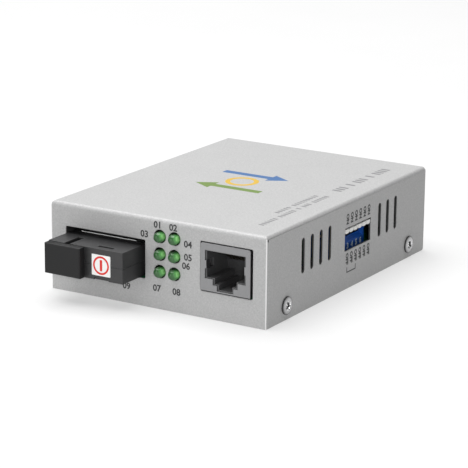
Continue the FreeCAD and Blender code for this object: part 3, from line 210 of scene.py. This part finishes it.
def sheet_paint(name, depth_inside, painted_highlight=None):
    """Silver paint with a fine grain outside, lighter where an edge highlight is painted; bare zinc
    on the sheet's inside and cuts, near black as painted shade.
    """
    paint = Finish(name, coat_weight=0.05, coat_roughness=0.5)
    grain = paint.noise(0.5 * MM, rough=0.7)
    flow = paint.noise(9 * MM, detail=3.0)
    flake = paint.cells(0.3 * MM)
    shade = grain * 0.7 + flake * 0.22 + flow * 0.08
    silver = paint.ramp(shade, (0.25, (0.36, 0.36, 0.362)), (0.75, (0.51, 0.51, 0.508)))
    # painted shade: the bare zinc is near black, standing in for the shade in the slots and inside
    # the case
    zinc = paint.mix(flow, (0.05, 0.05, 0.052), (0.11, 0.11, 0.108))
    # painted highlight: the silver turns light grey along the edges that the given pattern marks
    if painted_highlight:
        silver = paint.mix(painted_highlight(paint), silver, (0.82, 0.82, 0.82))
    bare_and_shaded = depth_inside(paint) > PAINTED_DEPTH
    return paint.surface(
        paint.mix(bare_and_shaded, silver, zinc), grain.spread(0.55, 0.68), metallic=flake.spread(0.1, 0.35),
        relief=grain + flake * 0.3, depth=0.01 * MM,
    )


def below_side(paint):
    """Depth below the cover's left or right face, whichever is nearer."""
    return HALF_W - paint.maths("ABSOLUTE", paint.axis("X"))


def upright_edges(paint):
    """1 along the cover's sharp front corners, where a painted highlight lightens the paint."""
    back = paint.axis("Y") - FRONT
    return (below_side(paint) < HIGHLIGHT_WIDTH) * (back < HIGHLIGHT_WIDTH)


def behind_bend(paint, first, second):
    """Depth below two faces that meet in a bend, from the depths below each."""
    over = [paint.maths("MAXIMUM", BEND - depth, 0.0) for depth in (first, second)]
    return BEND - (over[0] * over[0] + over[1] * over[1]) ** 0.5


def cover_depth(paint):
    """How far a point is inside the cover's outer faces."""
    across = below_side(paint)
    back = paint.axis("Y") - FRONT
    down = TOP - paint.axis("Z")
    bends = paint.maths(
        "MINIMUM", behind_bend(paint, across, down), behind_bend(paint, back, down)
    )
    return paint.maths("MINIMUM", bends, paint.maths("MINIMUM", across, back))


def base_depth(paint):
    """How far a point is inside the base's floor and back panel."""
    return behind_bend(paint, BASE_BACK - paint.axis("Y"), paint.axis("Z"))


def moulded(name, color, rough, grain_size, depth, lift=1.5, coat=0.0, shine=0.5):
    """Moulded plastic: a fine spark-eroded grain, faint flow marks and slightly uneven gloss.

    The grain's tone runs from the colour over lift to the colour times lift.
    """
    plastic = Finish(name, coat_weight=coat, coat_roughness=0.3, specular_ior_level=shine)
    grain = plastic.noise(grain_size, 3.0, 0.6)
    flow = plastic.noise(grain_size * 30)
    shade = plastic.ramp(
        grain * 0.6 + flow * 0.4,
        (0.3, tuple(c / lift for c in color)), (0.7, tuple(c * lift for c in color)),
    )
    gloss = flow.spread(rough - 0.07, rough + 0.07)
    return plastic.surface(shade, gloss, relief=grain, depth=depth)


def metal(name, color, rough, streak=(1, 1, 1)):
    """Bright metal with fine streaks or grain, and patches of uneven polish."""
    bright = Finish(name, metallic=1.0)
    streaks = bright.noise(0.25 * MM, 3.0, 0.6, streak)
    patches = bright.noise(3 * MM)
    tint = 0.12
    low = tuple(c * (1 - tint) for c in color)
    high = tuple(min(1.0, c * (1 + tint)) for c in color)
    shade = bright.mix(streaks * 0.6 + patches * 0.4, low, high)
    gloss = patches.spread(rough - 0.06, rough + 0.08)
    return bright.surface(shade, gloss, relief=streaks, depth=0.004 * MM)


def screw_plating():
    """Zinc plating on the cover screws with painted light: bright, with a painted shadow at the rim
    and in the recess, and painted glints round the recess.
    """
    lo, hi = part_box("cover_screws")
    head = (hi.z - lo.z) / 2
    plate = Finish("screw_plating", metallic=1.0)
    up = plate.axis("Z") - (lo.z + hi.z) / 2
    outs = []
    for axis_y in (lo.y + head, hi.y - head):
        along = plate.axis("Y") - axis_y
        outs.append((along * along + up * up) ** 0.5 / head)
    out = plate.maths("MINIMUM", *outs)     # 0 on a screw's axis, 1 at its rim
    painted_glint_cells = plate.cells(0.4 * MM)
    # painted shade: dark in the recess and at the rim, bright between them
    shade = plate.ramp(
        out, (0.0, (0.08, 0.08, 0.08)), (0.4, (0.16, 0.16, 0.165)), (0.5, (0.5, 0.5, 0.505)),
        (0.8, (0.40, 0.40, 0.405)), (0.97, (0.10, 0.10, 0.10)),
    )
    # painted glints: random cells round the recess turn near white
    color = plate.mix((out < 0.5) * (painted_glint_cells > 0.6), shade, (0.95, 0.95, 0.95))
    return plate.surface(color, painted_glint_cells.spread(0.15, 0.3))


def solder_mask():
    """Green board varnish over faint tracks."""
    board = Finish("solder_mask", coat_weight=0.5, coat_roughness=0.2)
    tracks = board.node(
        "ShaderNodeTexBrick", {"offset": 0.37},
        {"Vector": board.spot, "Scale": 1.0, "Mortar Size": 0.18 * MM, "Brick Width": 5.1 * MM,
         "Row Height": 1.27 * MM, "Mortar Smooth": 0.0},
        out="Fac",
    )
    cloud = board.noise(2 * MM, detail=3.0)
    color = board.mix(tracks * 0.7, (0.012, 0.10, 0.04), (0.04, 0.24, 0.09))
    return board.surface(color, cloud.spread(0.28, 0.42), relief=tracks, depth=0.03 * MM)


def lamp_epoxy(lamp):
    """Tinted epoxy: a dark ring round the die, and a painted highlight that makes the tone lighter
    to the right edge.
    """
    lo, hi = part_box(lamp)
    axis_x, axis_z = (lo.x + hi.x) / 2, (lo.z + hi.z) / 2
    epoxy = Finish(
        lamp + "_epoxy", coat_weight=0.6, coat_roughness=0.04, specular_ior_level=0.2
    )
    across = (epoxy.axis("X") - axis_x) / LAMP_RADIUS
    up = (epoxy.axis("Z") - axis_z) / LAMP_RADIUS
    cloud = epoxy.noise(0.5 * MM)
    # painted highlight: the tone runs from dark at the lower left to a light crescent at the right
    # edge
    body = epoxy.ramp(
        across * 0.92 + up * 0.3 + (cloud - 0.5) * 0.12,
        (0.0, (0.028, 0.095, 0.03)), (0.5, (0.045, 0.155, 0.045)), (0.78, (0.11, 0.36, 0.10)),
        (0.92, (0.30, 0.72, 0.24)), (1.0, (0.16, 0.48, 0.12)),
    )
    out = (across * across + up * up) ** 0.5
    ring = (out > 0.5) * (out < 0.6)
    color = epoxy.mix(ring * 0.3, body, (0.012, 0.05, 0.015))
    return epoxy.surface(color, cloud.spread(0.25, 0.35))


def printed(name, color):
    """Screen-printed ink with a slightly uneven tone."""
    ink = Finish(name)
    cloud = ink.noise(0.3 * MM)
    thin = tuple(c * 0.85 for c in color)
    thick = tuple(min(1, c * 1.15 + 0.01) for c in color)
    return ink.surface(ink.mix(cloud, thin, thick), cloud.spread(0.5, 0.65))


def sticker_paper():
    """Coated white paper with a faint fibre."""
    paper = Finish("sticker_paper", coat_weight=0.3, coat_roughness=0.25)
    fibre = paper.noise(0.15 * MM, 4.0, 0.7)
    color = paper.mix(fibre, (0.80, 0.80, 0.79), (0.92, 0.92, 0.91))
    return paper.surface(color, fibre.spread(0.4, 0.55), relief=fibre, depth=0.004 * MM)


def floor_finish():
    """Grey card with some light of its own, so that it stays white behind the object."""
    card = Finish("floor_finish", emission_color=(1, 1, 1, 1), emission_strength=0.5)
    cloud = card.noise(60 * MM)
    color = card.mix(cloud, (0.31, 0.31, 0.31), (0.33, 0.33, 0.33))
    return card.surface(color, cloud.spread(0.8, 0.9))


# ---- shaping ------------------------------------------------------------------------------------
def plain_normals():
    """Node group that leaves out a mesh's stored normals and shades all of it smooth."""
    group = bpy.data.node_groups.new("plain_normals", "GeometryNodeTree")
    for way in ("INPUT", "OUTPUT"):
        group.interface.new_socket("Geometry", in_out=way, socket_type="NodeSocketGeometry")
    start = group.nodes.new("NodeGroupInput")
    clear = group.nodes.new("GeometryNodeSetMeshNormal")
    clear.mode = "SHARPNESS"
    clear.inputs["Remove Custom"].default_value = True
    end = group.nodes.new("NodeGroupOutput")
    group.links.new(start.outputs[0], clear.inputs["Mesh"])
    group.links.new(clear.outputs[0], end.inputs[0])
    return group


def soften(node, width, normals_group):
    """Rounds a piece's sharp edges, with the shading kept flat on its faces."""
    node.modifiers.new("plain_normals", "NODES").node_group = normals_group
    node.modifiers.new("weld", "WELD").merge_threshold = DOUBLE_POINT
    flat = node.modifiers.new("flat_faces", "DECIMATE")
    flat.decimate_type = "DISSOLVE"
    flat.angle_limit = FLAT_ANGLE
    bevel = node.modifiers.new("edges", "BEVEL")
    bevel.width = width
    bevel.segments = EDGE_SEGMENTS
    bevel.limit_method = "ANGLE"
    bevel.angle_limit = SHARP_ANGLE
    bevel.use_clamp_overlap = node.name in CLAMPED
    bevel.harden_normals = True
    close_slivers(node)
    node.modifiers.new("normals", "WEIGHTED_NORMAL").keep_sharp = True


def close_slivers(node):
    """Joins points so near that a face between them has no area."""
    node.modifiers.new("close_slivers", "WELD").merge_threshold = SLIVER


def dress(piece, material):
    """Gives a piece this one material."""
    piece.data.materials.clear()
    piece.data.materials.append(material)


def add_object(name, data):
    """Object in the scene that holds a mesh, a light or a camera."""
    thing = bpy.data.objects.new(name, data)
    bpy.context.scene.collection.objects.link(thing)
    return thing


def save_mesh(name, shape):
    """Mesh from a closed bmesh, faces outward."""
    bmesh.ops.recalc_face_normals(shape, faces=shape.faces)
    mesh = bpy.data.meshes.new(name)
    shape.to_mesh(mesh)
    shape.free()
    return mesh


def join_loops(shape, first, second):
    """A band of faces between two loops of as many points."""
    for k in range(len(first)):
        turned = (k + 1) % len(first)
        shape.faces.new((first[k], first[turned], second[turned], second[k]))


def flat_mesh(name, outlines, thickness=INK):
    """Closed thin plates from 2-D outlines, with their backs on z = 0."""
    shape = bmesh.new()
    for outline in outlines:
        back, face = ([shape.verts.new((x, y, z)) for x, y in outline] for z in (0, thickness))
        shape.faces.new(back)
        shape.faces.new(face)
        join_loops(shape, back, face)
    return save_mesh(name, shape)


def ring_mesh(name, outer, inner):
    """Closed thin ring, with its back on z = 0."""
    shape = bmesh.new()
    angles = [2 * math.pi * k / RING_STEPS for k in range(RING_STEPS)]
    rings = [
        [shape.verts.new((radius * math.cos(a), radius * math.sin(a), z)) for a in angles]
        for radius, z in ((outer, 0), (outer, INK), (inner, INK), (inner, 0))
    ]
    for ring, after in zip(rings, rings[1:] + rings[:1]):
        join_loops(shape, ring, after)
    return save_mesh(name, shape)


def text_mesh(name, words, height, bold):
    """Closed thin mesh of a few figures, centred, with its back on z = 0."""
    curve = bpy.data.curves.new(name, "FONT")
    curve.body = words
    curve.extrude = 0.001       # any thickness, since it is scaled to INK below
    curve.offset = bold
    curve.resolution_u = 3
    holder = bpy.data.objects.new(name, curve)
    mesh = bpy.data.meshes.new_from_object(holder)
    bpy.data.objects.remove(holder)
    bpy.data.curves.remove(curve)
    mesh.name = name
    low = Vector(map(min, *(v.co for v in mesh.vertices)))
    high = Vector(map(max, *(v.co for v in mesh.vertices)))
    scale = height / (high.y - low.y)
    middle = (low + high) / 2
    mesh.transform(Matrix.Translation((-middle.x, -middle.y, -low.z)))
    mesh.transform(Matrix.Diagonal((scale, scale, INK / (high.z - low.z), 1)))
    return mesh


def bar(x0, x1, y0, y1):
    """Rectangle outline."""
    return [(x0, y0), (x1, y0), (x1, y1), (x0, y1)]


def arrow(x0, x1, y, half, head):
    """Plain arrow outline from x0 to x1, with a shaft of half width half and a head that long."""
    neck = x1 - math.copysign(head, x1 - x0)
    flare = half * ARROW_FLARE
    return [(x0, y - half), (neck, y - half), (neck, y - flare), (x1, y),
            (neck, y + flare), (neck, y + half), (x0, y + half)]


FACINGS = {     # a mark's own x, its own y and its outward side, as columns
    "front": Matrix(((1, 0, 0), (0, 0, -1), (0, 1, 0))),
    "right": Matrix(((0, 0, 1), (1, 0, 0), (0, 1, 0))),
    "top": Matrix(((1, 0, 0), (0, 1, 0), (0, 0, 1))),
}


def print_mark(mesh, ink, spot, facing, turn=0):
    """Lays a mark drawn in its own XY plane at a spot on one of the case's faces."""
    spin = Matrix.Rotation(math.radians(turn), 3, "Z")
    mesh.transform(Matrix.Translation(spot) @ (FACINGS[facing] @ spin).to_4x4())
    mark = add_object(mesh.name, mesh)
    dress(mark, ink)
    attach(mark, CASE_BODY)


# ---- the scene ----------------------------------------------------------------------------------
def dress_nodes():
    """Every carried-over piece gets its finish, and its edges a small radius in mm."""
    black = moulded("module_plastic", (0.034, 0.034, 0.035), 0.42, 0.25 * MM, 0.006 * MM, 1.25,
                    shine=0.4)
    cap = moulded("cap_plastic", (0.012, 0.012, 0.0125), 0.45, 0.3 * MM, 0.004 * MM, 1.2,
                  shine=0.25)
    inlet = moulded("inlet_plastic", (0.02, 0.02, 0.02), 0.4, 0.25 * MM, 0.005 * MM, 1.3)
    jack = moulded("jack_plastic", (0.065, 0.065, 0.067), 0.36, 0.25 * MM, 0.005 * MM, 1.3)
    chip = moulded("chip_resin", (0.022, 0.022, 0.022), 0.6, 0.15 * MM, 0.006 * MM, 1.4)
    blue = moulded("switch_blue", (0.008, 0.085, 0.40), 0.34, 0.2 * MM, 0.004 * MM, 1.2)
    ferrite = moulded("ferrite", (0.05, 0.05, 0.052), 0.6, 0.1 * MM, 0.01 * MM, 1.4)
    glaze = moulded("resistor_glaze", (0.03, 0.03, 0.03), 0.3, 0.1 * MM, 0.004 * MM)
    ceramic = moulded("capacitor_body", (0.45, 0.33, 0.22), 0.5, 0.1 * MM, 0.004 * MM)
    insert = moulded("insert_plastic", (0.06, 0.06, 0.065), 0.5, 0.2 * MM, 0.004 * MM)
    zirconia = moulded("zirconia", (0.8, 0.8, 0.76), 0.2, 0.2 * MM, 0.001 * MM, 1.05, coat=0.5)
    white = moulded("lever_white", (0.78, 0.78, 0.76), 0.42, 0.15 * MM, 0.004 * MM, 1.06)
    zinc = metal("zinc_plate", (0.34, 0.34, 0.345), 0.16)
    tin = metal("tinned_sheet", (0.27, 0.27, 0.275), 0.42, (1, 1, 0.15))
    pins = metal("tinned_pin", (0.75, 0.75, 0.72), 0.28)
    steel = metal("clip_steel", (0.66, 0.66, 0.65), 0.3, (0.2, 1, 1))
    brass = metal("turned_brass", (0.72, 0.55, 0.28), 0.25, (1, 1, 6))
    # painted shade: the contacts' gold is darkened to brown for the shade inside the jack
    shaded_gold = metal("gold_flash", (0.20, 0.15, 0.08), 0.3)
    can = metal("drawn_can", (0.78, 0.78, 0.78), 0.3)
    board = solder_mask()
    looks = {
        "case_cover": (sheet_paint("cover_paint", cover_depth, upright_edges), 0.15),
        "case_base": (sheet_paint("base_paint", base_depth), 0.1),
        "cover_screws": (screw_plating(), 0.06), "board_screws": (zinc, 0.05),
        "standoffs": (brass, 0.1),
        "circuit_board": (board, 0), "transceiver_board": (board, 0),
        "transceiver_upper_shell": (black, 0.12), "transceiver_lower_shell": (black, 0.12),
        "transceiver_pins": (pins, 0.03), "optical_barrel": (steel, 0.08),
        "port_insert": (insert, 0.06), "ferrule_sleeve": (zirconia, 0.05),
        "dust_cap": (cap, 0.1), "type_sticker": (sticker_paper(), 0),
        "shield_clip": (steel, 0.04), "jack_shield": (tin, 0.05), "jack_housing": (jack, 0.05),
        "jack_contacts": (shaded_gold, 0.03),
        "led_holder": (inlet, 0.1), "led_leads": (pins, 0.03),
        "dip_housing": (blue, 0.08), "dip_axle": (steel, 0.05), "dip_pins": (pins, 0.03),
        "power_jack_housing": (inlet, 0.1), "power_jack_pin": (pins, 0),
        "power_jack_terminals": (pins, 0.03),
        "converter_chip": (chip, 0.05), "converter_leads": (pins, 0), "memory_chip": (chip, 0.05),
        "line_transformer": (chip, 0.1), "regulator": (chip, 0.08), "crystal_can": (steel, 0),
        "filter_capacitors": (can, 0.08), "power_inductor": (ferrite, 0.12),
        "chip_resistors": (glaze, 0.04), "chip_capacitors": (ceramic, 0.04),
    }
    for number in range(1, WAYS + 1):
        looks["dip_lever_%d" % number] = (white, 0.08)
    for number in range(1, LAMPS + 1):
        lamp = "led_%d" % number
        looks[lamp] = (lamp_epoxy(lamp), 0)
    normals_group = plain_normals()
    for name, (material, edge) in looks.items():
        dress(NODES[name], material)
        if edge:
            soften(NODES[name], edge * MM, normals_group)
        else:
            close_slivers(NODES[name])


def print_front(ink):
    """Plain figures beside the lamps, in mm from the case's left edge and its foot."""
    height = 2.0 * MM
    places = (
        (35.9, 24.2), (41.2, 24.1), (31.7, 21.0), (46.0, 20.1), (46.0, 16.4),
        (45.4, 13.9), (35.9, 6.0), (42.3, 5.95), (25.7, 5.0),
    )
    for number, (x, z) in enumerate(places, 1):
        figure = text_mesh("lamp_mark_%d" % number, "%02d" % number, height, bold=0.03)
        print_mark(figure, ink, (LEFT + x * MM, FRONT - PRINT_GAP, z * MM), "front")


def print_sticker(ink):
    """A ring round a plain figure."""
    lo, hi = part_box("type_sticker")
    centre = ((lo.x + hi.x) / 2, lo.y, (lo.z + hi.z) / 2)
    outer, inner, height = 2.65 * MM, 2.1 * MM, 3.2 * MM
    print_mark(ring_mesh("sticker_ring", outer, inner), ink, centre, "front")
    print_mark(text_mesh("sticker_figure", "1", height, bold=0.05), ink, centre, "front")


def print_switch(ink, pale):
    """Figures on the switch block, ON and OFF beside the window, and a bracket under three ways."""
    lo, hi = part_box("dip_housing")
    ways = [(lo.y + hi.y) / 2 + (way - (WAYS - 1) / 2) * WAY_PITCH for way in range(WAYS)]
    figure_up = 3.0 * MM        # above the block's foot
    settings = (("ON", 20.8 * MM), ("OFF", 9.0 * MM))     # and how high each word is printed
    for number, y in enumerate(ways, 1):
        figure = text_mesh("way_figure_%d" % number, str(number), 1.8 * MM, bold=0.05)
        print_mark(figure, pale, (hi.x, y, lo.z + figure_up), "right")
        for words, z in settings:
            name = "%s_mark_%d" % (words.lower(), number)
            mark = text_mesh(name, words, 1.6 * MM, bold=0.06)
            print_mark(mark, ink, (RIGHT, y, z), "right", -90)
    line = 0.17 * MM            # half a line's width
    low, high = 5.0 * MM, 6.5 * MM
    first, last = ways[0], ways[2]
    outlines = [bar(first - line, last + line, low - line, low + line)]
    outlines += [bar(y - line, y + line, low + line, high) for y in (first, last)]
    for number, outline in enumerate(outlines, 1):
        print_mark(flat_mesh("bracket_%d" % number, [outline]), ink, (RIGHT, 0, 0), "right")


def print_top(grey):
    """Plain two-way arrows round a ring, and rows of plain bars, from the front left corner."""
    corner = (LEFT, FRONT, TOP)
    middle_x, middle_y = 34 * MM, 48 * MM
    outer, inner = 5 * MM, 3.5 * MM
    reach, apart = 11 * MM, 8 * MM      # of each arrow's ends and shaft from the ring's middle
    half, head = 1.3 * MM, 6 * MM       # half width of a shaft, length of a head
    left, right = middle_x - reach, middle_x + reach
    ring = ring_mesh("top_mark_yellow", outer, inner)
    ring.transform(Matrix.Translation((middle_x, middle_y, 0)))
    marks = (
        (flat_mesh("top_mark_blue", [arrow(left, right, middle_y + apart, half, head)]),
         printed("blue_ink", (0.058, 0.138, 0.31))),
        (ring, printed("yellow_ink", (0.57, 0.37, 0.045))),
        (flat_mesh("top_mark_green", [arrow(right, left, middle_y - apart, half, head)]),
         printed("green_ink", (0.142, 0.22, 0.052))),
    )
    for mesh, ink in marks:
        print_mark(mesh, ink, corner, "top")
    rows = (    # in mm: the bars' middle in x, first bar in y, length, pitch; then bars per group
        ("long_row", 62.5, 53.4, 3.0, 2.0, (3, 1, 3, 1, 4)),
        ("upper_row", 60.4, 23.0, 1.5, 1.55, (5, 9)),
        ("lower_row", 63.3, 9.6, 1.6, 1.45, (6, 6, 1, 3, 6)),
    )
    for name, x, y, length, pitch, groups in rows:
        x0, x1 = (x - length / 2) * MM, (x + length / 2) * MM
        outlines = []
        for count in groups:
            for _ in range(count):
                outlines.append(bar(x0, x1, y * MM, (y + pitch * BAR_SHARE) * MM))
                y += pitch
            y += pitch
        print_mark(flat_mesh(name, outlines), grey, corner, "top")


def lights():
    """A dim white surround and three soft boxes."""
    world = bpy.data.worlds.new("studio")
    bpy.context.scene.world = world
    world.use_nodes = True
    surround = world.node_tree.nodes["Background"].inputs
    surround["Color"].default_value = (1, 1, 1, 1)
    surround["Strength"].default_value = 0.06
    softbox("overhead", (-0.25, 0.05, 1.2), size=1.4, power=31)
    softbox("front_left", (-0.6, -1.2, 0.25), size=0.8, power=5.2)
    softbox("beside_camera", (0.33, -0.49, 0.19), size=0.05, power=0.8, aim=(0, -0.05, 0.013))


def softbox(name, spot, size, power, aim=(0, 0, 0)):
    """Square light of that size and power in watts, turned to aim."""
    light = bpy.data.lights.new(name, "AREA")
    light.shape = "SQUARE"
    light.size = size
    light.energy = power
    stand = add_object(name, light)
    stand.location = spot
    stand.rotation_euler = (Vector(aim) - Vector(spot)).to_track_quat("-Z", "Y").to_euler()


def floor():
    """A wide slab with its top at z = 0."""
    reach, thickness = 3, 0.01
    slab = flat_mesh("floor", [bar(-reach, reach, -reach, reach)], thickness)
    slab.transform(Matrix.Translation((0, 0, -thickness)))
    ground = add_object("floor", slab)
    dress(ground, floor_finish())


def camera():
    """A long lens to the right of the front, turned by its own right and back directions."""
    lens = bpy.data.cameras.new("camera")
    lens.sensor_width = 36      # this and the focal length in mm
    lens.lens = 163.3
    lens.shift_x = 0.0074
    lens.shift_y = -0.0248
    lens.clip_start = 0.01
    eye = add_object("camera", lens)
    right = Vector((0.8515, 0.5243, 0.0086)).normalized()
    back = Vector((0.5037, -0.8224, 0.2643)).normalized()
    up = back.cross(right).normalized()
    right = up.cross(back)
    turn = Matrix((right, up, back)).transposed().to_4x4()
    eye.matrix_world = Matrix.Translation((0.31075, -0.5151, 0.17884)) @ turn
    bpy.context.scene.camera = eye


dress_nodes()
black_ink = printed("black_ink", (0.026, 0.026, 0.027))
print_front(black_ink)
print_sticker(printed("red_ink", (0.68, 0.02, 0.012)))
print_switch(black_ink, printed("pale_ink", (0.62, 0.72, 0.8)))
print_top(printed("grey_ink", (0.2, 0.2, 0.205)))
lights()
floor()
camera()
bpy.context.scene.view_settings.view_transform = "Standard"
